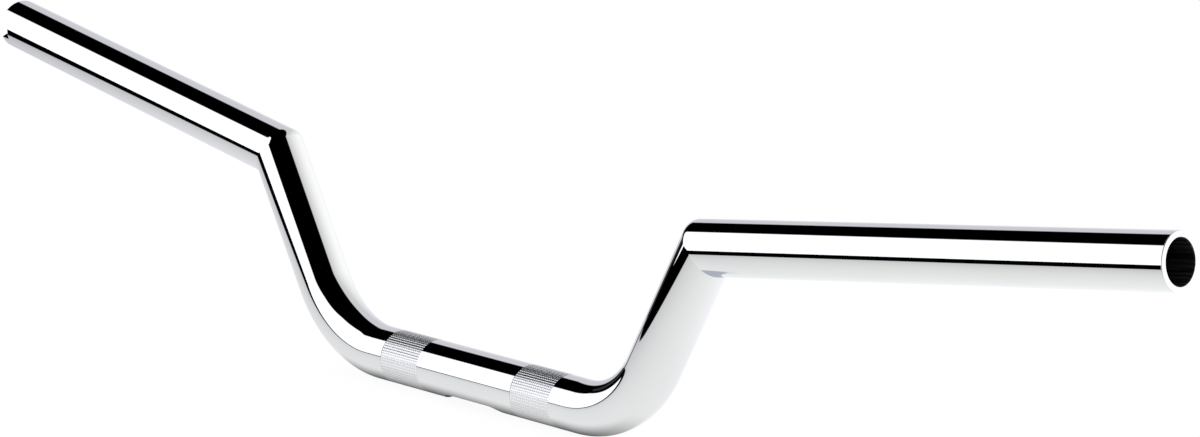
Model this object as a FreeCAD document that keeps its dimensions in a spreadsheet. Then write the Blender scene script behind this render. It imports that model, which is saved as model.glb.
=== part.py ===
"""Chromed one-inch riser handlebar: a bent centre tube with two knurled clamp seats, and two
straight grip tubes that are mitred and welded to its risers.

Frame, in millimetres: the origin is on the tube's axis in the middle of the clamp section, +X runs
along that section to the right grip, +Z is up in the plane of the risers, and +Y points back to the
rider, the way the grips sweep.
"""
import FreeCAD, Part
import Sketcher
import math
import os

from FreeCAD import Vector

doc = FreeCAD.newDocument("handlebar")

# Driving dimensions, one cell each. Lengths are in millimetres and angles in degrees.
SIZES = (
    ("tube_outer_dia", "25.4", "outside diameter of all three tubes"),
    ("tube_wall", "3.05", "wall of all three tubes"),
    ("clamp_straight", "141", "straight stretch between the two bends"),
    ("bend_radius", "54", "radius of the bends, on the tube's axis"),
    ("riser_angle", "60", "slope of the risers above the clamp section"),
    ("riser_straight", "68.3", "riser from the end of its bend to the corner, on the axis"),
    ("grip_length", "252", "grip tube from the corner to its open end, on the axis"),
    ("sweep_angle", "5", "how far the grips point back"),
    ("rise_angle", "7", "how far the grips point up"),
    ("end_round", "0.4", "rounding of the outer edge at a tube's open end"),
    ("mouth_chamfer", "0.4", "chamfer of the bore's edge at a tube's open end"),
    ("seat_spacing", "93.2", "distance between the middles of the knurled clamp seats"),
    ("seat_width", "26.6", "length of one knurled seat along the tube"),
    ("flute_count", "60", "knurl flutes round one seat"),
    ("flute_depth", "0.4", "depth of a knurl flute, cut with a right-angled tool"),
    ("slot_length", "45", "wiring slot under the middle of the clamp section, along the tube"),
    ("slot_width", "18", "wiring slot, across the tube"),
)

# What follows from them: the radii, the point where the axes of riser and grip meet, how far the
# axis turns there, the normal of the mitre between the two tubes, and the roll of a grip tube that
# brings the riser into that tube's own XZ plane.
DERIVED = (
    ("tube_radius", "=tube_outer_dia / 2"),
    ("bore_radius", "=tube_outer_dia / 2 - tube_wall"),
    ("corner_x", "=clamp_straight / 2 + bend_radius * sin(riser_angle * 1 deg)"
                 " + riser_straight * cos(riser_angle * 1 deg)"),
    ("corner_z", "=bend_radius * (1 - cos(riser_angle * 1 deg))"
                 " + riser_straight * sin(riser_angle * 1 deg)"),
    ("grip_along_x", "=cos(sweep_angle * 1 deg) * cos(rise_angle * 1 deg)"),
    ("grip_along_y", "=sin(sweep_angle * 1 deg) * cos(rise_angle * 1 deg)"),
    ("grip_along_z", "=sin(rise_angle * 1 deg)"),
    ("corner_turn", "=acos(cos(riser_angle * 1 deg) * grip_along_x"
                    " + sin(riser_angle * 1 deg) * grip_along_z) / 1 deg"),
    ("mitre_along_x", "=cos(riser_angle * 1 deg) + grip_along_x"),
    ("mitre_along_y", "=grip_along_y"),
    ("mitre_along_z", "=sin(riser_angle * 1 deg) + grip_along_z"),
    ("grip_roll", "=atan2(cos(riser_angle * 1 deg) * sin(sweep_angle * 1 deg);"
                  " sin(riser_angle * 1 deg) * cos(rise_angle * 1 deg)"
                  " - cos(riser_angle * 1 deg) * cos(sweep_angle * 1 deg)"
                  " * sin(rise_angle * 1 deg)) / 1 deg"),
)

sheet = doc.addObject("Spreadsheet::Sheet", "Sizes")
for line, (alias, value, *meaning) in enumerate(SIZES + DERIVED, start=1):
    sheet.set(f"A{line}", alias)
    sheet.set(f"B{line}", value)
    sheet.setAlias(f"B{line}", alias)
    sheet.set(f"C{line}", meaning[0] if meaning else "worked out")
doc.recompute()


def origin_feature(body, role):
    """One of the body's own origin planes or axes."""
    return next(feature for feature in body.Origin.OriginFeatures if feature.Role == role)


def bind(thing, sizes):
    """Tie properties of an object to formulas on the sheet."""
    for path, formula in sizes.items():
        thing.setExpression(path, formula)


def attach(thing, body, role, offset=None):
    """Lay a sketch or a primitive on an origin plane, moved by formulas on the sheet."""
    thing.AttachmentSupport = [(origin_feature(body, role), "")]
    thing.MapMode = "FlatFace"
    bind(thing, {f"AttachmentOffset.{path}": formula for path, formula in (offset or {}).items()})


def new_sketch(body, name, role, offset=None):
    sketch = body.newObject("Sketcher::SketchObject", name)
    attach(sketch, body, role, offset)
    return sketch


def tie(sketch, *rule):
    sketch.addConstraint(Sketcher.Constraint(*rule))


def dimension(sketch, name, formula, *rule):
    """A sketch dimension with a name, tied to the sheet."""
    index = sketch.addConstraint(Sketcher.Constraint(*rule))
    sketch.renameConstraint(index, name)
    sketch.setExpression(f"Constraints.{name}", formula)


# Sketcher's numbers for the points of a line or arc, and for the sketch's own origin and axes.
START, END, CENTRE = range(1, 4)
H_AXIS, V_AXIS = range(-1, -3, -1)
ORIGIN = (H_AXIS, START)


def disc(body, name, role, diameter, offset=None):
    """A circle round the sketch's origin."""
    sketch = new_sketch(body, name, role, offset)
    sketch.addGeometry(Part.Circle(Vector(), Vector(0, 0, 1), sheet.tube_radius))
    tie(sketch, "Coincident", 0, CENTRE, *ORIGIN)
    dimension(sketch, "diameter", diameter, "Diameter", 0, sheet.tube_outer_dia)
    return sketch


def smaller(body, cut):
    """Recompute, and make sure that a cut took material away from what it was given."""
    doc.recompute()
    if not 0 < cut.Shape.Volume < cut.BaseFeature.Shape.Volume:
        raise RuntimeError(f"{body.Label}: {cut.Label} removed nothing")


def mitre_cut(body, offset, beyond):
    """Cut a tube's end off on the plane that halves the corner. The sketch's normal points along
    the mean of riser and grip, and beyond says whether the waste lies that way."""
    sketch = disc(body, "MitrePlane", "XY_Plane", "2 * Sizes.tube_outer_dia", offset)
    cut = body.newObject("PartDesign::Pocket", "Mitre")
    cut.Profile = sketch
    cut.Reversed = beyond
    bind(cut, {"Length": "Sizes.tube_outer_dia"})
    smaller(body, cut)


def centre_tube_axis(body):
    """The tube's axis from the middle of the clamp section to the right corner."""
    half, radius = sheet.clamp_straight / 2, sheet.bend_radius
    slope = math.radians(sheet.riser_angle)
    bend_end = Vector(half + radius * math.sin(slope), radius * (1 - math.cos(slope)))
    corner = bend_end + Vector(math.cos(slope), math.sin(slope)) * sheet.riser_straight
    path = new_sketch(body, "TubeAxis", "XZ_Plane")
    bend = Part.Circle(Vector(half, radius), Vector(0, 0, 1), radius)
    path.addGeometry([
        Part.LineSegment(Vector(), Vector(half, 0)),
        Part.ArcOfCircle(bend, -math.pi / 2, slope - math.pi / 2),
        Part.LineSegment(bend_end, corner),
    ])
    clamp, bend, riser = range(3)
    tie(path, "Coincident", clamp, START, *ORIGIN)
    tie(path, "Horizontal", clamp)
    tie(path, "Tangent", clamp, END, bend, START)
    tie(path, "Tangent", bend, END, riser, START)
    dimension(path, "half_clamp", "Sizes.clamp_straight / 2", "Distance", clamp, half)
    dimension(path, "bend", "Sizes.bend_radius", "Radius", bend, radius)
    dimension(path, "slope", "Sizes.riser_angle * 1 deg", "Angle", riser, slope)
    dimension(path, "riser", "Sizes.riser_straight", "Distance", riser, sheet.riser_straight)
    return path


def knurl_flutes(body):
    """Flutes along the tube, cut round the right clamp seat. Their floor is a right angle, and they
    run past the surface by their own depth."""
    tool = new_sketch(body, "FluteTool", "YZ_Plane",
                      {"Base.z": "(Sizes.seat_spacing + Sizes.seat_width) / 2"})
    floor, top = sheet.tube_radius - sheet.flute_depth, sheet.tube_radius + sheet.flute_depth
    half_top = 2 * sheet.flute_depth
    corners = [Vector(0, floor), Vector(half_top, top), Vector(-half_top, top)]
    tool.addGeometry([Part.LineSegment(a, b) for a, b in zip(corners, corners[1:] + corners[:1])])
    right, lid, left = range(3)
    for side, following in ((right, lid), (lid, left), (left, right)):
        tie(tool, "Coincident", side, END, following, START)
    tie(tool, "PointOnObject", right, START, V_AXIS)
    tie(tool, "Symmetric", lid, START, lid, END, V_AXIS)
    dimension(tool, "floor", "Sizes.tube_radius - Sizes.flute_depth",
              "DistanceY", *ORIGIN, right, START, floor)
    dimension(tool, "reach", "2 * Sizes.flute_depth", "DistanceY", right, START, right, END, half_top)
    dimension(tool, "lid", "4 * Sizes.flute_depth", "DistanceX", left, START, right, END, 2 * half_top)
    flute = body.newObject("PartDesign::Pocket", "Flute")
    flute.Profile = tool
    bind(flute, {"Length": "Sizes.seat_width"})
    smaller(body, flute)
    knurl = body.newObject("PartDesign::PolarPattern", "Knurl")
    knurl.Originals = [flute]
    knurl.Axis = (origin_feature(body, "X_Axis"), [""])
    bind(knurl, {"Occurrences": "Sizes.flute_count"})
    body.Tip = knurl
    doc.recompute()


def wiring_slot(body):
    """A slot with round ends through the lower wall, in the middle of the clamp section."""
    sketch = new_sketch(body, "SlotOutline", "XY_Plane")
    middle, radius = (sheet.slot_length - sheet.slot_width) / 2, sheet.slot_width / 2
    up, quarter = Vector(0, 0, 1), math.pi / 2
    sketch.addGeometry([
        Part.ArcOfCircle(Part.Circle(Vector(middle, 0), up, radius), -quarter, quarter),
        Part.LineSegment(Vector(middle, radius), Vector(-middle, radius)),
        Part.ArcOfCircle(Part.Circle(Vector(-middle, 0), up, radius), quarter, 3 * quarter),
        Part.LineSegment(Vector(-middle, -radius), Vector(middle, -radius)),
    ])
    right, back, left, front = range(4)
    for side, following in ((right, back), (back, left), (left, front), (front, right)):
        tie(sketch, "Tangent", side, END, following, START)
    tie(sketch, "Horizontal", back)
    tie(sketch, "PointOnObject", right, CENTRE, H_AXIS)
    tie(sketch, "Symmetric", right, CENTRE, left, CENTRE, *ORIGIN)
    dimension(sketch, "end", "Sizes.slot_width / 2", "Radius", right, radius)
    dimension(sketch, "between", "Sizes.slot_length - Sizes.slot_width",
              "DistanceX", left, CENTRE, right, CENTRE, 2 * middle)
    slot = body.newObject("PartDesign::Pocket", "WiringSlot")
    slot.Profile = sketch
    bind(slot, {"Length": "Sizes.tube_outer_dia"})
    smaller(body, slot)


def centre_tube():
    """Clamp section, bends and risers: the right half is swept, closed by a ball at the corner, bored
    the same way, mitred and knurled, and then mirrored and slotted."""
    body = doc.addObject("PartDesign::Body", "centre_tube")
    path = centre_tube_axis(body)
    corner = {"Base.x": "Sizes.corner_x", "Base.y": "Sizes.corner_z"}
    for sweep_kind, ball_kind, name, diameter, radius in (
        ("AdditivePipe", "AdditiveSphere", "Tube", "Sizes.tube_outer_dia", "Sizes.tube_radius"),
        ("SubtractivePipe", "SubtractiveSphere", "Bore", "2 * Sizes.bore_radius", "Sizes.bore_radius"),
    ):
        section = disc(body, name + "Section", "YZ_Plane", diameter)
        sweep = body.newObject("PartDesign::" + sweep_kind, name)
        sweep.Profile = section
        sweep.Spine = (path, ["Edge1", "Edge2", "Edge3"])
        doc.recompute()
        ball = body.newObject("PartDesign::" + ball_kind, name + "Corner")
        attach(ball, body, "XZ_Plane", corner)
        bind(ball, {"Radius": radius})
        doc.recompute()
    mitre_cut(body, {
        "Base.x": "Sizes.corner_x",
        "Base.z": "Sizes.corner_z",
        "Rotation.Yaw": "atan2(Sizes.mitre_along_y; Sizes.mitre_along_x) / 1 deg",
        "Rotation.Pitch": "atan2(hypot(Sizes.mitre_along_x; Sizes.mitre_along_y);"
                          " Sizes.mitre_along_z) / 1 deg",
    }, beyond=True)
    knurl_flutes(body)
    both = body.newObject("PartDesign::Mirrored", "BothSides")
    both.TransformMode = "Whole shape"
    both.MirrorPlane = (origin_feature(body, "YZ_Plane"), [""])
    body.Tip = both
    doc.recompute()
    wiring_slot(body)
    return body


def grip_tube(label, side):
    """A straight tube along its own +X from the corner, turned from a half section whose near end is
    round like the ball of the corner, then mitred. side is 1 on the right and -1 on the left."""
    body = doc.addObject("PartDesign::Body", label)
    outer, inner, length = sheet.tube_radius, sheet.bore_radius, sheet.grip_length
    edge, mouth = sheet.end_round, sheet.mouth_chamfer
    up = Vector(0, 0, 1)
    half = new_sketch(body, "HalfSection", "XZ_Plane")
    half.addGeometry([
        Part.ArcOfCircle(Part.Circle(Vector(), up, outer), math.pi / 2, math.pi),
        Part.LineSegment(Vector(0, outer), Vector(length - edge, outer)),
        Part.ArcOfCircle(Part.Circle(Vector(length - edge, outer - edge), up, edge), 0, math.pi / 2),
        Part.LineSegment(Vector(length, outer - edge), Vector(length, inner + mouth)),
        Part.LineSegment(Vector(length, inner + mouth), Vector(length - mouth, inner)),
        Part.LineSegment(Vector(length - mouth, inner), Vector(0, inner)),
        Part.ArcOfCircle(Part.Circle(Vector(), up, inner), math.pi / 2, math.pi),
        Part.LineSegment(Vector(-inner, 0), Vector(-outer, 0)),
    ])
    ball, outside, rim, face, chamfer, bore, bore_ball, wall = range(8)
    for rule in (
        ("Coincident", ball, CENTRE, *ORIGIN),
        ("Coincident", bore_ball, CENTRE, *ORIGIN),
        ("Tangent", ball, START, outside, START),
        ("Tangent", outside, END, rim, END),
        ("Tangent", rim, START, face, START),
        ("Coincident", face, END, chamfer, START),
        ("Coincident", chamfer, END, bore, START),
        ("Tangent", bore, END, bore_ball, START),
        ("Coincident", bore_ball, END, wall, START),
        ("Coincident", wall, END, ball, END),
        ("PointOnObject", wall, START, H_AXIS),
        ("PointOnObject", wall, END, H_AXIS),
        ("Horizontal", outside),
        ("Vertical", face),
        ("Horizontal", bore),
    ):
        tie(half, *rule)
    dimension(half, "outer", "Sizes.tube_radius", "Radius", ball, outer)
    dimension(half, "inner", "Sizes.bore_radius", "Radius", bore_ball, inner)
    dimension(half, "rim", "Sizes.end_round", "Radius", rim, edge)
    dimension(half, "length", "Sizes.grip_length", "DistanceX", *ORIGIN, face, START, length)
    dimension(half, "mouth_x", "Sizes.mouth_chamfer", "DistanceX", chamfer, END, chamfer, START, mouth)
    dimension(half, "mouth_y", "Sizes.mouth_chamfer", "DistanceY", chamfer, END, chamfer, START, mouth)
    turned = body.newObject("PartDesign::Revolution", "Turned")
    turned.Profile = half
    turned.ReferenceAxis = (half, ["H_Axis"])
    turned.Angle = 360
    doc.recompute()
    mitre_cut(body, {"Rotation.Pitch": "90 - Sizes.corner_turn / 2"}, beyond=False)
    bind(body, {
        "Placement.Base.x": f"{side} * Sizes.corner_x",
        "Placement.Base.z": "Sizes.corner_z",
        "Placement.Rotation.Yaw": "Sizes.sweep_angle" if side > 0 else "180 - Sizes.sweep_angle",
        "Placement.Rotation.Pitch": "-Sizes.rise_angle",
        "Placement.Rotation.Roll": f"{side} * Sizes.grip_roll",
    })
    doc.recompute()
    return body


tubes = [centre_tube(), grip_tube("left_grip_tube", -1), grip_tube("right_grip_tube", 1)]
doc.recompute()

broken = [thing.Name for thing in doc.Objects if {"Invalid", "Error"} & set(thing.State)]
if broken:
    raise RuntimeError(f"failed features: {broken}")


def tube_volume(length, mitres):
    """Wall times length, less what the rounding of a mitre takes from its sharp outer side."""
    half_turn = math.radians(sheet.corner_turn) / 2
    cubes = sheet.tube_radius ** 3 - sheet.bore_radius ** 3
    lost = cubes * 2 / 3 * (math.tan(half_turn) - half_turn)
    return math.pi * (sheet.tube_radius ** 2 - sheet.bore_radius ** 2) * length - mitres * lost


def slot_share():
    """The slot as the length of plain tube that holds as much."""
    def under(radius):
        half = min(sheet.slot_width / 2, radius)
        return radius ** 2 * math.asin(half / radius) + half * math.sqrt(radius ** 2 - half ** 2)

    cut = under(sheet.tube_radius) - under(sheet.bore_radius)
    length = sheet.slot_length - sheet.slot_width * (1 - math.pi / 4)
    return length * cut / (math.pi * (sheet.tube_radius ** 2 - sheet.bore_radius ** 2))


bend_length = sheet.bend_radius * math.radians(sheet.riser_angle)
lengths = {
    "centre_tube": (sheet.clamp_straight + 2 * (bend_length + sheet.riser_straight) - slot_share(), 2),
    "left_grip_tube": (sheet.grip_length, 1),
    "right_grip_tube": (sheet.grip_length, 1),
}
os.makedirs("parts", exist_ok=True)
for tube in tubes:
    shape = tube.Shape
    if shape.isNull() or not shape.isValid() or len(shape.Solids) != 1:
        raise RuntimeError(f"{tube.Label} is not one valid solid")
    expected = tube_volume(*lengths[tube.Label])
    if abs(shape.Volume / expected - 1) > 0.02:
        raise RuntimeError(f"{tube.Label} holds {shape.Volume:.0f} mm3, not about {expected:.0f}")
    shape.exportStep(f"parts/{tube.Label}.step")
    print(f"{tube.Label}: {shape.Volume:.0f} mm3 of {expected:.0f}, {len(shape.Faces)} faces")
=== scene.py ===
# %% [markdown]
# # A chromed one-inch handlebar
# The bar is three lengths of steel tube: a centre tube that is bent twice, and a straight grip tube welded
# on at each upper corner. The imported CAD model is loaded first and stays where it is. Everything below is in
# metres and in its frame: X runs along the clamped middle, Z is up and the grips sweep back along Y.

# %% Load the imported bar
import math

import bpy
import numpy as np
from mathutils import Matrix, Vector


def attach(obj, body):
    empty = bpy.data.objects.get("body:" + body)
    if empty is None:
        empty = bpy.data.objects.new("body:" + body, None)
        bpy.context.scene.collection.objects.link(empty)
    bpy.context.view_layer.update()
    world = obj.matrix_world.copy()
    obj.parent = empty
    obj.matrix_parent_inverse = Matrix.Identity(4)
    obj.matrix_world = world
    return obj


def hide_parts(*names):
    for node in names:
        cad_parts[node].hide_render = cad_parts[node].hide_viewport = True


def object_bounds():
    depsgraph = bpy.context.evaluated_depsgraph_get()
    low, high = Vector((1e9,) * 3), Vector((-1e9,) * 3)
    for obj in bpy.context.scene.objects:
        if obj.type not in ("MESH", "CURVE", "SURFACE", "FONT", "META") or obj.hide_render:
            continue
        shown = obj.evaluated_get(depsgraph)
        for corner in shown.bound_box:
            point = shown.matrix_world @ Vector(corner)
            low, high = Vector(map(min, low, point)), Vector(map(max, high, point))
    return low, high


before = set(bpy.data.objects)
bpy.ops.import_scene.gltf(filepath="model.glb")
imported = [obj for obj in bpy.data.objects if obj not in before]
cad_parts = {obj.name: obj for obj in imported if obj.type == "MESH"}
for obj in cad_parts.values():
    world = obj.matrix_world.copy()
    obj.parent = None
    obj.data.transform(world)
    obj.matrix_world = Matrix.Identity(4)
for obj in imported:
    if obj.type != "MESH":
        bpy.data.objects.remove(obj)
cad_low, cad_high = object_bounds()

print("CAD box", [round(v, 4) for v in (*cad_low, *cad_high)])

# %% [markdown]
# ## Measures
# These are the bar's own sizes, the same as in the CAD source. A mirror finish shows every flat facet, so the
# three tubes are made again here as fine skins of the same form, with a true normal at each corner of each
# face. A subdivision surface would also be smooth, but it would pull the mitres away from their places.

# %% Measures of the bar
MM = 0.001
TUBE_RADIUS, BORE_RADIUS = 12.7 * MM, 9.65 * MM
HALF_CLAMP = 70.5 * MM
BEND_RADIUS, RISER_SLOPE, RISER_RUN = 54 * MM, math.radians(60), 68.3 * MM
GRIP_RUN, GRIP_SWEEP, GRIP_RISE = 252 * MM, math.radians(5), math.radians(7)
END_ROUND, MOUTH_CHAMFER = 0.4 * MM, 0.4 * MM
SEAT_INNER, SEAT_OUTER = 33.3 * MM, 59.9 * MM
FLUTES, CROSS_CUTS = 60, 20

RISER_ALONG = np.array([math.cos(RISER_SLOPE), 0, math.sin(RISER_SLOPE)])
GRIP_ALONG = np.array([
    math.cos(GRIP_RISE) * math.cos(GRIP_SWEEP),
    math.cos(GRIP_RISE) * math.sin(GRIP_SWEEP),
    math.sin(GRIP_RISE),
])
BEND_CENTRE = np.array([HALF_CLAMP, 0, BEND_RADIUS])
BEND_END = BEND_CENTRE + BEND_RADIUS * np.array([math.sin(RISER_SLOPE), 0, -math.cos(RISER_SLOPE)])
CORNER = BEND_END + RISER_RUN * RISER_ALONG
MITRE_NORMAL = (RISER_ALONG + GRIP_ALONG) / np.linalg.norm(RISER_ALONG + GRIP_ALONG)
print("corner at", CORNER.round(4), "grip end at", (CORNER + GRIP_RUN * GRIP_ALONG).round(4))

# %% [markdown]
# ## Lines along the tube
# A tube's skin is a grid: rings across it, and lines along it. Each knurl flute gets four lines, so the same
# 240 lines run through the flutes, round the bends and up to the mitres. The last line lies on the first, so
# that a ring closes. At a mitre the grip's lines are the riser's lines seen in the mitre as in a mirror, so
# the two skins meet point for point.

# %% Lines round the tube
LINES_PER_FLUTE = 4
LINES = FLUTES * LINES_PER_FLUTE
TURN = np.arange(LINES + 1) * 2 * math.pi / LINES
ACROSS = np.array([0.0, 1.0, 0.0])


def spokes(slope):
    """Unit vectors from the axis to each line, where the tube climbs at this slope."""
    upward = np.array([-math.sin(slope), 0, math.cos(slope)])
    return np.cos(TURN)[:, None] * upward + np.sin(TURN)[:, None] * ACROSS


def mirrored(vectors, normal):
    """Vectors seen in a plane mirror."""
    return vectors - 2 * np.outer(vectors @ normal, normal)


RISER_SPOKES = spokes(RISER_SLOPE)
GRIP_SPOKES = mirrored(RISER_SPOKES, MITRE_NORMAL)
print(LINES, "lines, one each", round(2 * math.pi * TUBE_RADIUS / LINES / MM, 2), "mm round the tube")

# %% [markdown]
# ## Rings and the corner
# On a straight run two rings are enough, because the normals are exact. At the corner the welder has dressed
# the outside of the joint round, while the inside stays a sharp crease. So each line starts on the mitre,
# goes over the rounding if it is on the outside, and then runs straight along the tube.

# %% Rings, and lines that leave a mitre
CORNER_ROUND, LEAST_ARC = 6 * MM, 0.5 * MM
CORNER_REACH, CORNER_ROWS = 9 * MM, 10


def ring(centre, radius, out):
    """One ring of points and its normals."""
    return centre + radius * out, out


def from_mitre(along, out, radius, rounding, reach, rows):
    """Rings from the mitre to a square ring at this reach along the tube. The outside is rounded over."""
    side = np.sign(along @ MITRE_NORMAL)
    tilt = side * (out @ MITRE_NORMAL)
    lean = tilt / abs(along @ MITRE_NORMAL)
    swing = np.arcsin(np.maximum(tilt, 0))
    start = -lean * np.where(lean > 0, radius - rounding, radius)
    arc = np.maximum(rounding * swing, LEAST_ARC)
    run = reach - start + rounding * swing - arc
    over = tilt[:, None] * out - side * MITRE_NORMAL
    over /= np.linalg.norm(over, axis=1, keepdims=True)
    points, normals = [], []
    for step in np.linspace(0, 2, 2 * rows + 1):
        gone = min(step, 1) * arc + max(step - 1, 0) * run
        angle = np.maximum(swing - gone / rounding, 0)
        forward = start + np.maximum(gone - rounding * swing, 0)
        normal = np.cos(angle)[:, None] * out + np.sin(angle)[:, None] * over
        points.append(CORNER + (radius - rounding) * out + rounding * normal + forward[:, None] * along)
        normals.append(normal)
    return np.array(points), np.array(normals)


print("the corner takes", 2 * CORNER_ROWS + 1, "rings in", round(CORNER_REACH / MM), "mm")

# %% [markdown]
# ## The centre tube's skin
# From the right mitre the rings go down the riser and round the bend to the clamp section, and the bore
# follows the same way inside. The left half is the same seen in the plane of symmetry. A swept curve would
# also give a bent tube, but not the exact normals.


# %% Half of the centre tube
def half_tube(radius, rounding, bend_rows, corner_rows):
    """Rings of a plain tube from the right mitre down the riser and round the bend."""
    points, normals = from_mitre(-RISER_ALONG, RISER_SPOKES, radius, rounding, CORNER_REACH, corner_rows)
    points, normals = list(points), list(normals)
    for slope in np.linspace(RISER_SLOPE, 0, bend_rows):
        foot = np.array([math.sin(slope), 0, -math.cos(slope)])
        place, normal = ring(BEND_CENTRE + BEND_RADIUS * foot, radius, spokes(slope))
        points.append(place)
        normals.append(normal)
    return points, normals


def clamp_rings(stations, radius):
    """Plain rings of the clamp section at these places along X."""
    pairs = [ring(np.array([x, 0, 0]), radius, spokes(0)) for x in stations]
    return [p for p, _ in pairs], [n for _, n in pairs]


BEND_ROWS, BORE_BEND_ROWS, BORE_CORNER_ROWS = 37, 13, 4
outer_half = half_tube(TUBE_RADIUS, CORNER_ROUND, BEND_ROWS, CORNER_ROWS)
bore_half = half_tube(BORE_RADIUS, BORE_RADIUS, BORE_BEND_ROWS, BORE_CORNER_ROWS)
print("half of the centre tube has", len(outer_half[0]), "rings outside and", len(bore_half[0]), "inside")

# %% [markdown]
# ## The knurled clamp seats
# Where the clamps hold it, the bar is knurled, so that it can't turn. Flutes are rolled along the tube and
# then crossed by cuts round it, which leaves rows of small square studs. A bump map would give the sparkle,
# but not the broken edge of the band, so the studs are modelled: each has a flat crown and four flat flanks
# that slope down to the cuts round it.

# %% A knurled seat
KNURL_DEPTH, CUT_DEPTH = 0.13 * MM, 0.08 * MM
ROWS_PER_CUT = 4
EDGE_STEP = 0.12 * MM


def knurled_seat():
    """Rings of the right seat from its outer edge to its inner edge, with the studs raised on it."""
    pitch = (SEAT_OUTER - SEAT_INNER) / CROSS_CUTS
    inside = np.arange(CROSS_CUTS * ROWS_PER_CUT + 1) / ROWS_PER_CUT
    along = SEAT_OUTER - pitch * inside
    along[0] -= EDGE_STEP
    along[-1] += EDGE_STEP
    flute = KNURL_DEPTH * (np.arange(LINES + 1) % LINES_PER_FLUTE == 0)
    cut = CUT_DEPTH * (np.arange(len(inside)) % ROWS_PER_CUT == 0)
    depth = np.maximum(flute, cut[:, None])
    out = spokes(0)
    points = (TUBE_RADIUS - depth)[:, :, None] * out
    points[:, :, 0] += along[:, None]
    edges = [ring(np.array([x, 0, 0]), TUBE_RADIUS, out)[0] for x in (SEAT_OUTER, SEAT_INNER)]
    points = np.concatenate([edges[:1], points, edges[1:]])
    return points, np.broadcast_to(out, points.shape)


seat_points, seat_normals = knurled_seat()
print("a seat has", FLUTES * CROSS_CUTS, "studs on", len(seat_points), "rings")

# %% [markdown]
# ## The wiring slot
# Wires run inside the bar and leave it by a long slot, milled through the lower wall under the middle of the
# clamp section. From the front it shows only as a shallow notch in the lower outline. A Boolean would cut it,
# but would lose the exact normals. So the skin is laid round it: a patch of rings goes from a straight frame
# to the slot's outline, and the frame meets the plain lines of the tube.

# %% Skin with a slot in it
SLOT_LENGTH, SLOT_WIDTH = 45 * MM, 18 * MM
PATCH_LINES, PATCH_STATIONS, PATCH_RINGS = 108, 24, 10
PATCH_TURN = math.pi * PATCH_LINES / LINES


def looped(side, back):
    """A loop from its right side and its back. Half a turn brings them to the left side and the front."""
    half = np.concatenate([side, back])
    return np.concatenate([half, -half, half[:1]])


def columns(*parts):
    """Numbers side by side, as one row for each point."""
    return np.stack(np.broadcast_arrays(*parts), axis=-1).astype(float)


frame_turn = np.linspace(-PATCH_TURN, PATCH_TURN, PATCH_LINES + 1)[:-1]
end_turn = np.linspace(-math.pi / 2, math.pi / 2, PATCH_LINES + 1)[:-1]
leftward = np.linspace(1, -1, PATCH_STATIONS + 1)[:-1]
patch_frame = looped(columns(SEAT_INNER, frame_turn), columns(SEAT_INNER * leftward, PATCH_TURN))
into_slot = looped(columns(-np.cos(end_turn), -np.sin(end_turn)), columns(0 * leftward, -1))
half_spine = (SLOT_LENGTH - SLOT_WIDTH) / 2
slot_spine = looped(columns(half_spine, 0 * end_turn), columns(half_spine * leftward, 0))
slot_outline = slot_spine - SLOT_WIDTH / 2 * into_slot


def on_tube(x, turn, radius):
    """Points and normals on the clamp section, at this turn from its lowest line."""
    out = columns(0, np.sin(turn), -np.cos(turn))
    return radius * out + columns(x, 0, 0), out


def slotted_skin(radius):
    """The skin between the two seats: the patch round the slot, and the plain rest over the top."""
    rim = columns(slot_outline[:, 0], np.arcsin(slot_outline[:, 1] / radius))
    share = np.linspace(0, 1, PATCH_RINGS)[:, None, None]
    rings = patch_frame + share * (rim - patch_frame)
    patch = on_tube(rings[:, :, 0], rings[:, :, 1], radius)
    stations = np.linspace(SEAT_INNER, -SEAT_INNER, PATCH_STATIONS + 1)[:, None]
    over = np.linspace(PATCH_TURN, 2 * math.pi - PATCH_TURN, LINES - PATCH_LINES + 1)[None]
    return patch, on_tube(*np.broadcast_arrays(stations, over), radius)


outer_patch, outer_top = slotted_skin(TUBE_RADIUS)
bore_patch, bore_top = slotted_skin(BORE_RADIUS)
slot_wall = np.array([outer_patch[0][-1], bore_patch[0][-1]]), np.array([columns(*into_slot.T, 0)] * 2)
print("the slot's outline has", len(slot_outline) - 1, "points")

# %% [markdown]
# ## The faces of a strip
# The skin is laid in strips, each a grid of rows and lines. Each strip has its own normals and finish, so an
# edge between strips is crisp. A face that stands across its strip, as the flank of a notch does, is a
# polished flat. The flat map for baking puts the strips on shelves, one above the other.

# %% Faces of one strip
CHROME, STANDS_ACROSS, LEAST_AREA = 0, 0.5, 1e-20
SHELF_MARGIN = 0.02


def shelf_chart(points, start, shelf, shelves):
    """A strip on the flat map: its length runs on from a start, and its lines are spread across the shelf."""
    steps = np.linalg.norm(np.diff(points, axis=0), axis=2).mean(1)
    u = start + np.concatenate([[0], np.cumsum(steps)])
    v = (shelf + np.linspace(SHELF_MARGIN, 1 - SHELF_MARGIN, points.shape[1])) / shelves
    return np.stack(np.meshgrid(u, v, indexing="ij"), axis=2)


def four_corners(grid):
    """The corners of each cell of a grid, in order round the cell."""
    cells = grid[:-1, :-1], grid[1:, :-1], grid[1:, 1:], grid[:-1, 1:]
    return np.stack(cells, axis=2).reshape(-1, 4, grid.shape[2])


def strip_faces(points, normals, chart, finish, faceted):
    """Corners, normals, map places and finishes of a strip's faces, and which of them are flat."""
    place, bend, map_place = (four_corners(grid) for grid in (points, normals, chart))
    face = np.cross(place[:, 1] - place[:, 0], place[:, 3] - place[:, 0])
    side = np.sign((face * bend[:, 0]).sum())
    own = side * face / np.maximum(np.linalg.norm(face, axis=1, keepdims=True), LEAST_AREA)
    across = ((own * bend[:, 0]).sum(1) < STANDS_ACROSS) & (finish != faceted)
    is_flat = across | (finish == faceted)
    bend = np.where(is_flat[:, None, None], own[:, None], bend)
    order = slice(None, None, int(side))
    return place[:, order], bend[:, order], map_place[:, order], np.where(across, CHROME, finish), is_flat


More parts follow.
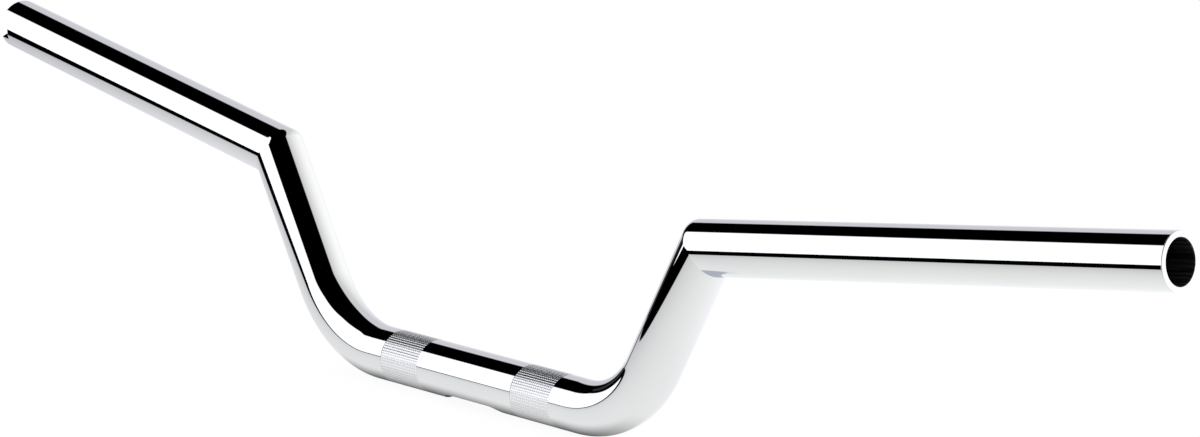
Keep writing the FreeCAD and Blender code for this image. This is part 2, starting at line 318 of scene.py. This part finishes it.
print("a face is flat where it leans more than", round(math.degrees(math.acos(STANDS_ACROSS))), "degrees")

# %% [markdown]
# ## From strips to a piece
# Points that fall on the same spot are welded into one, which closes the strips to a sound solid. Each piece
# rides on the bar, takes the chrome slot and stands in for its plain CAD node.

# %% Build one piece out of strips
WELD, MAP_MARGIN = 1e-8, 0.005


def make_piece(name, strips, finishes, node, faceted=None):
    """A closed piece from strips of (points, normals, finish, shelf)."""
    shelves = 1 + max(shelf for *_, shelf in strips)
    filled = np.zeros(shelves)
    faces = []
    for points, normals, finish, shelf in strips:
        points, normals = np.asarray(points), np.asarray(normals)
        chart = shelf_chart(points, filled[shelf], shelf, shelves)
        filled[shelf] = chart[-1, 0, 0]
        faces.append(strip_faces(points, normals, chart, finish, faceted))
    corners, bends, flat_map, marks, is_flat = (np.concatenate(part) for part in zip(*faces))
    flat_map[:, :, 0] = MAP_MARGIN + (1 - 2 * MAP_MARGIN) * flat_map[:, :, 0] / filled.max()
    spots = np.rint(corners.reshape(-1, 3) / WELD).astype(np.int64)
    _, kept, number = np.unique(spots, axis=0, return_index=True, return_inverse=True)
    mesh = bpy.data.meshes.new(name)
    mesh.from_pydata(corners.reshape(-1, 3)[kept].tolist(), [], number.reshape(-1, 4).tolist())
    mesh.polygons.foreach_set("material_index", marks.astype(np.int32))
    mesh.polygons.foreach_set("use_smooth", np.ones(len(corners), bool))
    mesh.uv_layers.new(name="OFBake").data.foreach_set("uv", flat_map.astype(np.float32).ravel())
    for finish in finishes:
        mesh.materials.append(finish)
    mesh.normals_split_custom_set(bends.reshape(-1, 3).tolist())
    piece = bpy.data.objects.new(name, mesh)
    bpy.context.scene.collection.objects.link(piece)
    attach(piece, "root")
    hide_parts(node)
    print(name, "has", len(corners), "faces,", np.count_nonzero(is_flat), "of them flat")


print("points within", WELD / MM, "mm are welded")

# %% [markdown]
# ## Wires for the finishes
# A finish is a tree of nodes. It could be drawn by hand in the node editor, but then the script wouldn't show
# it, and written node by node it is hard to read. So a wire stands for one node output, and sums of wires
# write the Math nodes.


# %% Wires
class Wire:
    """One output of a node. Sums with it add Math nodes to the same recipe."""

    def __init__(self, recipe, socket):
        self.recipe, self.socket = recipe, socket

    def out(self, name):
        """Another output of the same node."""
        return Wire(self.recipe, self.socket.node.outputs[name])

    def maths(self, operation, *terms):
        """A Math node with these terms."""
        return self.recipe.node("ShaderNodeMath", {"operation": operation}, dict(enumerate(terms)))

    def __add__(self, other):
        return self.maths("ADD", self, other)

    def __sub__(self, other):
        return self.maths("SUBTRACT", self, other)

    def __rsub__(self, other):
        return self.maths("SUBTRACT", other, self)

    def __mul__(self, other):
        return self.maths("MULTIPLY", self, other)

    def __truediv__(self, other):
        return self.maths("DIVIDE", self, other)

    def __rtruediv__(self, other):
        return self.maths("DIVIDE", other, self)

    def __pow__(self, other):
        return self.maths("POWER", self, other)

    __radd__, __rmul__ = __add__, __mul__

    def between(self, low, high):
        """0 at low, 1 at high, and eased between."""
        settings = {"interpolation_type": "SMOOTHSTEP"}
        sockets = {"Value": self, "From Min": low, "From Max": high}
        return self.recipe.node("ShaderNodeMapRange", settings, sockets)


print("a wire takes sums, differences, products, quotients and powers")

# %% [markdown]
# ## Recipes
# A recipe is the page that the nodes stand on. One method makes any node: its type, its settings, and what
# goes into its sockets. The short methods after it are for nodes that come up often.

# %% Recipes
FIRST_COLOUR, SECOND_COLOUR, MIXED_COLOUR = 6, 7, 2


class Recipe:
    """A node tree that is filled from an empty page."""

    def __init__(self, tree):
        self.tree = tree
        tree.nodes.clear()

    def node(self, kind, settings=None, sockets=None, out=0):
        """Adds a node: its settings first, then values or wires for its sockets."""
        made = self.tree.nodes.new(kind)
        for name, value in (settings or {}).items():
            setattr(made, name, value)
        for name, value in (sockets or {}).items():
            if isinstance(value, Wire):
                self.tree.links.new(value.socket, made.inputs[name])
            else:
                made.inputs[name].default_value = value
        return Wire(self, made.outputs[out]) if made.outputs else made

    def blend(self, share, first, second):
        """One colour at share 0 and the other at share 1."""
        sockets = {"Factor": share, FIRST_COLOUR: first, SECOND_COLOUR: second}
        return self.node("ShaderNodeMix", {"data_type": "RGBA"}, sockets, out=MIXED_COLOUR)

    def dot(self, vector, axis):
        """How far a vector goes along an axis."""
        sockets = {0: vector, 1: axis}
        return self.node("ShaderNodeVectorMath", {"operation": "DOT_PRODUCT"}, sockets, out="Value")

    def noise(self, place, scale, detail):
        """Soft mottling, the finer the larger its scale."""
        return self.node("ShaderNodeTexNoise", None, {"Vector": place, "Scale": scale, "Detail": detail})

    def surface(self, sockets):
        """Ends a finish with one surface."""
        shader = self.node("ShaderNodeBsdfPrincipled", None, sockets)
        self.node("ShaderNodeOutputMaterial", None, {"Surface": shader})


def new_finish(name):
    """An empty material and the recipe for it."""
    finish = bpy.data.materials.new(name)
    finish.use_nodes = True
    return finish, Recipe(finish.node_tree)


print("a new finish starts from an empty recipe")

# %% [markdown]
# ## Polished chrome
# Decorative chrome is a thin hard plate over buffed nickel. It mirrors the room, a little cooler than it is.
# What tells it from a perfect mirror is the buffing: a slow change in tint, patches of faint haze where the
# mop passed, and a ripple too small to see except as a waver in straight reflections.

# %% Polished chrome
PLATE_LIGHT, PLATE_COOL = (0.875, 0.88, 0.88, 1), (0.858, 0.865, 0.868, 1)
TINT_SCALE, TINT_DETAIL, TINT_FROM, TINT_TO = 18.0, 2.0, 0.35, 0.7
MOP_SCALE, MOP_DETAIL = 260.0, 3.0
LEAST_HAZE, MORE_HAZE, HAZE_FROM, HAZE_TO = 0.006, 0.012, 0.45, 0.75
RIPPLE_SCALE, RIPPLE_DETAIL, RIPPLE_HEIGHT, RIPPLE_SHARE = 90.0, 1.0, 0.2 * MM, 0.006


def plate(recipe):
    """Where a point is on the bar, the slow mottling there, and the tint of the plate."""
    place = recipe.node("ShaderNodeTexCoord", out="Object")
    slow = recipe.noise(place, TINT_SCALE, TINT_DETAIL)
    return place, slow, recipe.blend(slow.between(TINT_FROM, TINT_TO), PLATE_LIGHT, PLATE_COOL)


def polished_chrome():
    finish, recipe = new_finish("polished_chrome")
    place, slow, tint = plate(recipe)
    mop = recipe.noise(place, MOP_SCALE, MOP_DETAIL)
    haze = LEAST_HAZE + MORE_HAZE * slow.between(HAZE_FROM, HAZE_TO) * mop
    waver = recipe.node("ShaderNodeBump", None, {
        "Strength": RIPPLE_SHARE,
        "Distance": RIPPLE_HEIGHT,
        "Height": recipe.noise(place, RIPPLE_SCALE, RIPPLE_DETAIL),
    })
    recipe.surface({"Base Color": tint, "Metallic": 1.0, "Roughness": haze, "Normal": waver})
    return finish


chrome = polished_chrome()
print("made", chrome.name)

# %% [markdown]
# ## Chrome on the knurl
# The same plate lies on the studs, but no mop reaches down between them. The crowns are bright and the
# valleys are duller, and they are painted darker as well: a painted shade in the recesses. How deep a point is
# follows from its distance from the tube's axis, which is the X axis here.

# %% Knurled chrome
# The valleys' darker colour is painted shade.
VALLEY_PAINTED_SHADE = (0.74, 0.745, 0.75, 1)
VALLEY_ROUGH, CROWN_SMOOTHER, ROUGH_CHANGE = 0.28, 0.06, 0.04


def knurled_chrome():
    finish, recipe = new_finish("knurled_chrome")
    place, slow, tint = plate(recipe)
    parts = recipe.node("ShaderNodeSeparateXYZ", None, {"Vector": place})
    y, z = parts.out("Y"), parts.out("Z")
    from_axis = (y * y + z * z) ** 0.5
    crown = from_axis.between(TUBE_RADIUS - KNURL_DEPTH, TUBE_RADIUS)
    recipe.surface({
        # Painted shade: the valleys are painted darker than the crowns.
        "Base Color": recipe.blend(crown, VALLEY_PAINTED_SHADE, tint),
        "Metallic": 1.0,
        "Roughness": VALLEY_ROUGH - CROWN_SMOOTHER * crown + ROUGH_CHANGE * slow,
    })
    return finish


knurl = knurled_chrome()
print("made", knurl.name)

# %% [markdown]
# ## The faced end and the bare bore
# The end of the tube is faced on a lathe before it is plated, and fine rings stay in it. Plating hardly
# enters the bore, which keeps the dark skin and the long draw marks of the mill; its near-black colour is
# partly that skin and partly painted shade deep in the tube. Both the rings and the marks follow the grip's
# own axis.
# The two grips mirror each other, so the left one uses the same marks with X turned round.

# %% Faced end and bare bore
GRIP_UP = GRIP_SPOKES[0]
GRIP_BACK = np.cross(GRIP_ALONG, GRIP_UP)
RING_SCALE, RING_DETAIL, END_ROUGH, RING_ROUGHER = 5200.0, 2.0, 0.3, 0.12
# The bore's dark colour is partly its dark skin and partly painted shade.
BORE_SKIN_AND_SHADE, BORE_LIGHT, BORE_METALLIC = (0.004, 0.004, 0.004, 1), (0.055, 0.055, 0.057, 1), 0.6
DRAWN_OUT, STREAK_SCALE, STREAK_DETAIL, STREAK_FROM, STREAK_TO = 0.02, 900.0, 2.0, 0.4, 0.68
BORE_ROUGH, STREAK_SMOOTHER = 0.55, 0.15


def grip_axes(recipe):
    """A point's place up, back and along, seen from the corner on its own side."""
    place = recipe.node("ShaderNodeTexCoord", out="Object")
    folded = recipe.node("ShaderNodeVectorMath", {"operation": "ABSOLUTE"}, {0: place})
    parts = recipe.node("ShaderNodeSeparateXYZ", None, {"Vector": place})
    one_side = recipe.node("ShaderNodeCombineXYZ", None, {
        "X": recipe.node("ShaderNodeSeparateXYZ", None, {"Vector": folded}).out("X"),
        "Y": parts.out("Y"),
        "Z": parts.out("Z"),
    })
    seen = recipe.node("ShaderNodeVectorMath", {"operation": "SUBTRACT"}, {0: one_side, 1: CORNER})
    return [recipe.dot(seen, axis) for axis in (GRIP_UP, GRIP_BACK, GRIP_ALONG)]


def faced_end():
    finish, recipe = new_finish("faced_end")
    up, back, _ = grip_axes(recipe)
    from_axis = (up * up + back * back) ** 0.5
    rings = recipe.node("ShaderNodeTexNoise", {"noise_dimensions": "1D"}, {
        "W": from_axis, "Scale": RING_SCALE, "Detail": RING_DETAIL,
    })
    recipe.surface({
        "Base Color": recipe.blend(rings, PLATE_COOL, PLATE_LIGHT),
        "Metallic": 1.0,
        "Roughness": END_ROUGH + RING_ROUGHER * rings,
    })
    return finish


def bare_bore():
    finish, recipe = new_finish("bare_bore")
    up, back, along = grip_axes(recipe)
    drawn = recipe.node("ShaderNodeCombineXYZ", None, {"X": up, "Y": back, "Z": DRAWN_OUT * along})
    streaks = recipe.noise(drawn, STREAK_SCALE, STREAK_DETAIL).between(STREAK_FROM, STREAK_TO)
    recipe.surface({
        # Painted shade: the bore's near-black colour, partly its dark skin.
        "Base Color": recipe.blend(streaks, BORE_SKIN_AND_SHADE, BORE_LIGHT),
        "Metallic": BORE_METALLIC,
        "Roughness": BORE_ROUGH - STREAK_SMOOTHER * streaks,
    })
    return finish


end_face, bore = faced_end(), bare_bore()
print("made", end_face.name, "and", bore.name)

# %% [markdown]
# ## The centre tube
# Its right half has the outside from the mitre to the seat, the seat, the bore, and the mitre's wall, which
# touches the grip tube and is never seen. The left half is the same seen in the plane of symmetry. The skin
# round the wiring slot, outside and in the bore, joins them.

# %% Make the centre tube
FLIP = np.array([-1.0, 1, 1])
KNURL, BORE = 1, 2
OUTSIDE_SHELF, BORE_SHELF, SIDE_SHELVES, SLOT_SHELF = 0, 1, 2, 4


def joined(*runs):
    """Runs of rings laid one after the other."""
    return tuple(np.concatenate([np.asarray(run[k]) for run in runs]) for k in (0, 1))


def wall(outside, inside, normal):
    """The flat wall between an outside edge and an inside edge."""
    return np.array([outside, inside]), np.broadcast_to(normal, (2, LINES + 1, 3))


def inward(run):
    """The same rings with their normals turned in, for a bore."""
    return run[0], -np.asarray(run[1])


def on_left(strips, shelf_shift):
    """The same strips on the left side."""
    return [
        (np.asarray(points) * FLIP, np.asarray(normals) * FLIP, finish, shelf + shelf_shift)
        for points, normals, finish, shelf in strips
    ]


right_out = joined(outer_half, clamp_rings([SEAT_OUTER], TUBE_RADIUS))
right_bore = joined(bore_half, clamp_rings([SEAT_INNER], BORE_RADIUS))
right_half = [
    (*right_out, CHROME, OUTSIDE_SHELF),
    (seat_points, seat_normals, KNURL, OUTSIDE_SHELF),
    (*inward(right_bore), BORE, BORE_SHELF),
    (*wall(right_out[0][0], right_bore[0][0], MITRE_NORMAL), BORE, BORE_SHELF),
]
round_the_slot = [
    (*outer_patch, CHROME, SLOT_SHELF),
    (*outer_top, CHROME, SLOT_SHELF),
    (*slot_wall, CHROME, SLOT_SHELF),
    (*inward(bore_patch), BORE, SLOT_SHELF),
    (*inward(bore_top), BORE, SLOT_SHELF),
]
centre_strips = right_half + on_left(right_half, SIDE_SHELVES) + round_the_slot
make_piece("centre_tube_chromed", centre_strips, [chrome, knurl, bore], "centre_tube", KNURL)

# %% [markdown]
# ## The grip tubes
# Each grip tube leaves the mitre, runs straight, is rounded over at the rim, and has its mouth chamfered so
# that an end plug goes in. The one at the picture's left also has a notch in its rim, which keeps a throttle
# sensor from turning. Its lines end earlier there, so the notch's flanks stand between two lines.

# %% Make the grip tubes
NOTCH_LINE, NOTCH_LINES, NOTCH_DEPTH = 161, 30, 6.8 * MM
FACED, RIM_ROWS = 1, 9


def grip_strips(notch_depth):
    """The right grip's strips: out from the mitre to the rim, which may be notched, and back inside."""
    shorter = np.zeros(LINES + 1)
    shorter[NOTCH_LINE:NOTCH_LINE + NOTCH_LINES] = notch_depth
    out, far = GRIP_SPOKES, CORNER + (GRIP_RUN - shorter)[:, None] * GRIP_ALONG
    skin = from_mitre(GRIP_ALONG, out, TUBE_RADIUS, CORNER_ROUND, CORNER_REACH, CORNER_ROWS)
    rim_start = ring(far - END_ROUND * GRIP_ALONG, TUBE_RADIUS, out)
    skin = joined(skin, ([rim_start[0]], [rim_start[1]]))
    rim = [], []
    for angle in np.linspace(0, math.pi / 2, RIM_ROWS):
        normal = math.cos(angle) * out + math.sin(angle) * GRIP_ALONG
        rim[0].append(far - END_ROUND * GRIP_ALONG + (TUBE_RADIUS - END_ROUND) * out + END_ROUND * normal)
        rim[1].append(normal)
    mouth_radius = BORE_RADIUS + MOUTH_CHAMFER
    face = wall(rim[0][-1], far + mouth_radius * out, GRIP_ALONG)
    lip = far - MOUTH_CHAMFER * GRIP_ALONG + BORE_RADIUS * out
    chamfer = np.array([face[0][1], lip]), np.array([(GRIP_ALONG - out) / math.sqrt(2)] * 2)
    inside = from_mitre(GRIP_ALONG, out, BORE_RADIUS, BORE_RADIUS, CORNER_REACH, BORE_CORNER_ROWS)
    inside = joined(([lip], [-out]), (inside[0][::-1], -inside[1][::-1]))
    return [
        (*skin, CHROME, OUTSIDE_SHELF),
        (*rim, FACED, OUTSIDE_SHELF),
        (*face, FACED, OUTSIDE_SHELF),
        (*chamfer, BORE, OUTSIDE_SHELF),
        (*inside, BORE, BORE_SHELF),
        (*wall(inside[0][-1], skin[0][0], -MITRE_NORMAL), BORE, BORE_SHELF),
    ]


grip_finishes = [chrome, end_face, bore]
make_piece("right_grip_chromed", grip_strips(0), grip_finishes, "right_grip_tube")
left_strips = on_left(grip_strips(NOTCH_DEPTH), 0)
make_piece("left_grip_chromed", left_strips, grip_finishes, "left_grip_tube")

# %% [markdown]
# ## The camera
# The view is from the bar's right front, a little above it, with a long lens. Its place was found by fitting
# the tube's own edges.

# %% Camera
VIEW_TURN, VIEW_RISE, VIEW_DISTANCE = math.radians(48.029), math.radians(11.645), 1.94926
VIEW_TARGET = np.array([0.08135, 0.0, 0.0885])
FOCAL_LENGTH, SENSOR_WIDTH = 130.853, 36.0
NEAREST, FARTHEST = 0.05, 50
toward_camera = np.array([
    math.sin(VIEW_TURN) * math.cos(VIEW_RISE),
    -math.cos(VIEW_TURN) * math.cos(VIEW_RISE),
    math.sin(VIEW_RISE),
])
lens = bpy.data.cameras.new("camera")
lens.lens, lens.sensor_width = FOCAL_LENGTH, SENSOR_WIDTH
lens.clip_start, lens.clip_end = NEAREST, FARTHEST
camera = bpy.data.objects.new("camera", lens)
camera.location = VIEW_TARGET + VIEW_DISTANCE * toward_camera
camera.rotation_euler = (math.pi / 2 - VIEW_RISE, 0, VIEW_TURN)
bpy.context.scene.collection.objects.link(camera)
bpy.context.scene.camera = camera
print("camera at", [round(v, 3) for v in camera.location])

# %% [markdown]
# ## The studio
# Chrome has no colour of its own: what it shows is the room. Two soft boxes stand in a dark studio, a bright
# one to the camera's left and a larger paler one from its right round to the back, and the dark between them
# draws the black bands. A small fill is behind the camera. Lamps could stand there, but their edges in a
# bent mirror are hard to set. So each of the two boxes is a pair of overlapping patches of the sky, cut out
# by flat edges.

# %% Edges of the soft boxes
FACING = np.array([math.sin(VIEW_TURN), -math.cos(VIEW_TURN), 0])
RIGHTWARD = np.array([math.cos(VIEW_TURN), math.sin(VIEW_TURN), 0])
UPWARD = np.array([0.0, 0.0, 1.0])
CRISP, SOFTER, SOFTEST = 0.02, 0.025, 0.03


def sky_point(turn, rise):
    """A direction given by its turn from the camera to the right, and its rise, in degrees."""
    turn, rise = math.radians(turn), math.radians(rise)
    level = math.cos(turn) * FACING + math.sin(turn) * RIGHTWARD
    return math.cos(rise) * level + math.sin(rise) * UPWARD


def edge(first, second, inside, soft=CRISP):
    """The plane through two sky points, as a normal that points to the inside, and how soft the edge is."""
    normal = np.cross(sky_point(*first), sky_point(*second))
    normal /= np.linalg.norm(normal)
    return normal * np.sign(normal @ sky_point(*inside)), soft


KEY_INSIDE, SWEEP_INSIDE, FILL_INSIDE = (-85, 20), (120, 30), (-2, 4)
KEY_FRONT = [
    edge((-42.3, 18), (-44.5, 31), KEY_INSIDE),
    edge((-44.5, 31), (-66, 51.5), KEY_INSIDE),
]
KEY_LOW = KEY_FRONT + [
    edge((-124.5, -3), (-129.5, 19), KEY_INSIDE),
    edge((-130.5, 19), (-121, 35.5), KEY_INSIDE),
    edge((-121, 37.5), (-110, 42.4), KEY_INSIDE),
    edge((-130, -25), (-50, -25), KEY_INSIDE),
]
KEY_HIGH = KEY_FRONT + [
    edge((-109.5, 42), (-106, 49), KEY_INSIDE),
    edge((-106, 49), (-92, 53), KEY_INSIDE),
    edge((-92, 53), (-66, 51.5), KEY_INSIDE),
]
SWEEP_LOW = edge((50, -25), (200, -25), SWEEP_INSIDE)
SWEEP_FRONT = [
    edge((53, 43), (68, 59), SWEEP_INSIDE, SOFTEST),
    edge((70, 53.3), (147, 62), SWEEP_INSIDE, SOFTEST),
    SWEEP_LOW,
]
SWEEP_BACK = [
    edge((147, 61.5), (173, 53.5), SWEEP_INSIDE, SOFTEST),
    edge((173, 53.5), (192.8, 33.5), SWEEP_INSIDE, SOFTER),
    edge((211, 10), (206, -4), SWEEP_INSIDE),
    SWEEP_LOW,
]
FILL_EDGES = [
    edge((-22, 0), (-20, 15), FILL_INSIDE),
    edge((20, 0), (18, 15), FILL_INSIDE),
    edge((-20, 12), (20, 12), FILL_INSIDE),
    edge((-20, -8), (20, -8), FILL_INSIDE),
]
patches = KEY_LOW, KEY_HIGH, SWEEP_FRONT, SWEEP_BACK, FILL_EDGES
print(len(patches), "patches of sky with", sum(map(len, patches)), "edges")

# %% [markdown]
# ## The sky
# The paler box is uneven, so its glow changes with the direction. Only mirrors see the boxes, and chrome seen
# in chrome shows them much duller. The camera and plain surfaces see an even white.

# %% Studio sky
KEY_LIGHT, FILL_LIGHT, ROOM_LIGHT = 1.3, 0.7, 1.2
GLOW, GLOW_FACING, GLOW_RIGHTWARD, GLOW_UP, LEAST_GLOW = 0.65, -0.174, 0.62, -0.465, 0.69
SECOND_LOSS = 0.9
WHITE, BACK_TINT, TINT_GONE = (1, 1, 1, 1), (0.96, 0.97, 1.035, 1), 0.6


def chrome_in_chrome(rays):
    """1 where a mirror is seen in a mirror, else 0."""
    return rays.out("Glossy Depth").between(1, 2)


def studio_sky():
    world = bpy.data.worlds.new("studio")
    bpy.context.scene.world = world
    world.use_nodes = True
    recipe = Recipe(world.node_tree)
    direction = recipe.node("ShaderNodeTexCoord", out="Generated")

    def box(edges):
        """1 inside these edges and 0 outside."""
        share = 1.0
        for normal, soft in edges:
            share = recipe.dot(direction, normal).between(-soft, soft) * share
        return share

    facing, rightward, up = (recipe.dot(direction, axis) for axis in (FACING, RIGHTWARD, UPWARD))
    glow = GLOW + GLOW_FACING * facing + GLOW_RIGHTWARD * rightward + GLOW_UP * up
    glow = glow.maths("MAXIMUM", glow, LEAST_GLOW)
    key = facing.maths("MAXIMUM", box(KEY_LOW), box(KEY_HIGH))
    sweep = facing.maths("MAXIMUM", box(SWEEP_FRONT), box(SWEEP_BACK))
    mirror = KEY_LIGHT * key + glow * sweep + FILL_LIGHT * box(FILL_EDGES)
    rays = recipe.node("ShaderNodeLightPath", out="Is Camera Ray")
    mirror = mirror * (1 - SECOND_LOSS * chrome_in_chrome(rays))
    seen = rays.out("Is Glossy Ray") * (1 - rays)
    strength = seen * mirror + (1 - seen) * (ROOM_LIGHT - (ROOM_LIGHT - 1) * rays)
    plain = facing.maths("MAXIMUM", rightward.between(0.0, TINT_GONE), 1 - seen)
    colour = recipe.blend(plain, BACK_TINT, WHITE)
    light = recipe.node("ShaderNodeBackground", None, {"Color": colour, "Strength": strength})
    recipe.node("ShaderNodeOutputWorld", None, {"Surface": light})
    return world


print("made", studio_sky().name)

# %% [markdown]
# ## The floor's finish
# The floor is a pale sheet, and what mirrors see on it is painted light: the sheet glows with a painted round
# pool of light. In the chrome the painted light is brighter behind the bar than in front of it and fades to
# the left, and close under the clamp section a painted shade stands for the bar's own shadow. Chrome seen in
# chrome shows it painted duller and cooler, as painted shade. To the camera it is as white as the sky round
# it, and keeps a little shadow.

# %% Finish of the floor sheet
# The painted pool of light on the sheet: its centre, half sizes and soft edge.
LIGHT_POOL_CENTRE, LIGHT_POOL_HALF = (0.9, 0.065), (1.75, 0.376)
LIGHT_POOL_SOFT = 0.012
# Painted light: how the sheet's glow falls off across it.
SHEET_PAINTED_LIGHT, PAINTED_LIGHT_X, PAINTED_LIGHT_Y = 0.888, 0.226, 0.83
PAINTED_LIGHT_XX, PAINTED_LIGHT_XY, PAINTED_LIGHT_YY = -0.28, 0.7, -0.571
SHEET_RED, SHEET_BLUE, BLUE_X, BLUE_Y = 0.988, 1.008, -0.05, 0.27
# Painted shade: the sheet's duller, cooler colour where chrome is seen in chrome.
SECOND_PAINTED_SHADE = (0.545, 0.57, 0.645, 1)
# Painted shade under the clamp section: where it starts and is full, how deep it is, and where it ends along
# X.
SHADE_NEAR, SHADE_FAR, SHADE_DEPTH = 0.0025, 0.017, 0.92
SHADE_END, SHADE_GONE = 0.068, 0.115
SHADOW_SHARE = 0.06


def floor_finish():
    finish, recipe = new_finish("pale_sheet_painted_light")
    place = recipe.node("ShaderNodeTexCoord", out="Object")
    parts = recipe.node("ShaderNodeSeparateXYZ", None, {"Vector": place})
    x, y = parts.out("X"), parts.out("Y")
    # Painted light: the glow is brighter behind the bar than in front of it and fainter to the left.
    painted_light = SHEET_PAINTED_LIGHT + x * (PAINTED_LIGHT_X + PAINTED_LIGHT_XX * x) + y * (PAINTED_LIGHT_Y + PAINTED_LIGHT_XY * x + PAINTED_LIGHT_YY * y)
    aside = recipe.node("ShaderNodeVectorMath", {"operation": "SUBTRACT"}, {0: place, 1: (*LIGHT_POOL_CENTRE, 0)})
    scaled = recipe.node("ShaderNodeVectorMath", {"operation": "DIVIDE"}, {0: aside, 1: (*LIGHT_POOL_HALF, 1)})
    outward = recipe.node("ShaderNodeVectorMath", {"operation": "LENGTH"}, {0: scaled}, out="Value")
    # Painted pool of light: the glow ends at the pool's edge, and beyond it the sheet is painted dark.
    painted_pool = 1 - outward.between(1 - LIGHT_POOL_SOFT, 1 + LIGHT_POOL_SOFT)
    # Painted shade: the bar's shadow close under the clamp section, painted into the sheet's glow.
    under_bar = 1 - (x * x).between(SHADE_END ** 2, SHADE_GONE ** 2)
    shade = under_bar * (1 - ((y * y) ** 0.5).between(SHADE_NEAR, SHADE_FAR))
    rays = recipe.node("ShaderNodeLightPath", out="Is Camera Ray")
    blue = SHEET_BLUE + BLUE_X * x + BLUE_Y * y.maths("MAXIMUM", y, 0)
    tint = recipe.node("ShaderNodeCombineColor", None, {"Red": SHEET_RED, "Green": 1.0, "Blue": blue})
    # Painted shade: seen chrome in chrome, the sheet is painted duller and cooler.
    tint = recipe.blend(chrome_in_chrome(rays), tint, SECOND_PAINTED_SHADE)
    glow = {0: tint, "Scale": painted_light * painted_pool * (1 - SHADE_DEPTH * shade)}
    glow = recipe.node("ShaderNodeVectorMath", {"operation": "SCALE"}, glow)
    # For mirrors the sheet glows with this painted light, though it is no lamp.
    sheet = recipe.node("ShaderNodeEmission", None, {"Color": glow, "Strength": 1.0})
    paper = recipe.node("ShaderNodeBsdfDiffuse", None, {"Color": WHITE})
    white = recipe.node("ShaderNodeEmission", None, {"Color": WHITE, "Strength": 1.0})
    backdrop = recipe.node("ShaderNodeMixShader", None, {0: SHADOW_SHARE, 1: white, 2: paper})
    shown = recipe.node("ShaderNodeMixShader", None, {0: rays, 1: sheet, 2: backdrop})
    recipe.node("ShaderNodeOutputMaterial", None, {"Surface": shown})
    return finish


sheet_finish = floor_finish()
print("made", sheet_finish.name)

# %% [markdown]
# ## The floor sheet
# The sheet lies a hair below the bar. Its back edge is the edge of the painted pool of light. In front it goes
# on past the pool, where mirrors see it painted dark and it hides the low part of the sky. A plain square
# would show a straight edge in the chrome.

# %% Floor sheet
FLOOR_DROP, FLOOR_RIGHT = 0.05 * MM, 1.4
# The front of the sheet lies outside the painted pool of light, and mirrors see it painted dark.
PAINTED_DARK_FRONT = ((-1.6, -0.165), (0.6, -1.147), (1.4, -0.7))
SHEET_POINTS = 256
floor_height = float(cad_low.z) - FLOOR_DROP
behind = np.arange(SHEET_POINTS + 1) * math.pi / SHEET_POINTS
floor_x = np.minimum(LIGHT_POOL_CENTRE[0] + LIGHT_POOL_HALF[0] * np.cos(behind), FLOOR_RIGHT)
floor_y = LIGHT_POOL_CENTRE[1] + LIGHT_POOL_HALF[1] * np.sin(behind)
outline = [(x, y, floor_height) for x, y in (*zip(floor_x, floor_y), *PAINTED_DARK_FRONT)]
sheet_mesh = bpy.data.meshes.new("floor_sheet")
sheet_mesh.from_pydata(outline, [], [list(range(len(outline)))])
sheet_mesh.materials.append(sheet_finish)
floor = bpy.data.objects.new("floor_sheet", sheet_mesh)
bpy.context.scene.collection.objects.link(floor)
print("floor at", round(floor_height, 5))

# %% [markdown]
# ## View
# The picture is shown without a film look, so that a colour comes out about as it is written.

bpy.context.scene.view_settings.view_transform = "Standard"
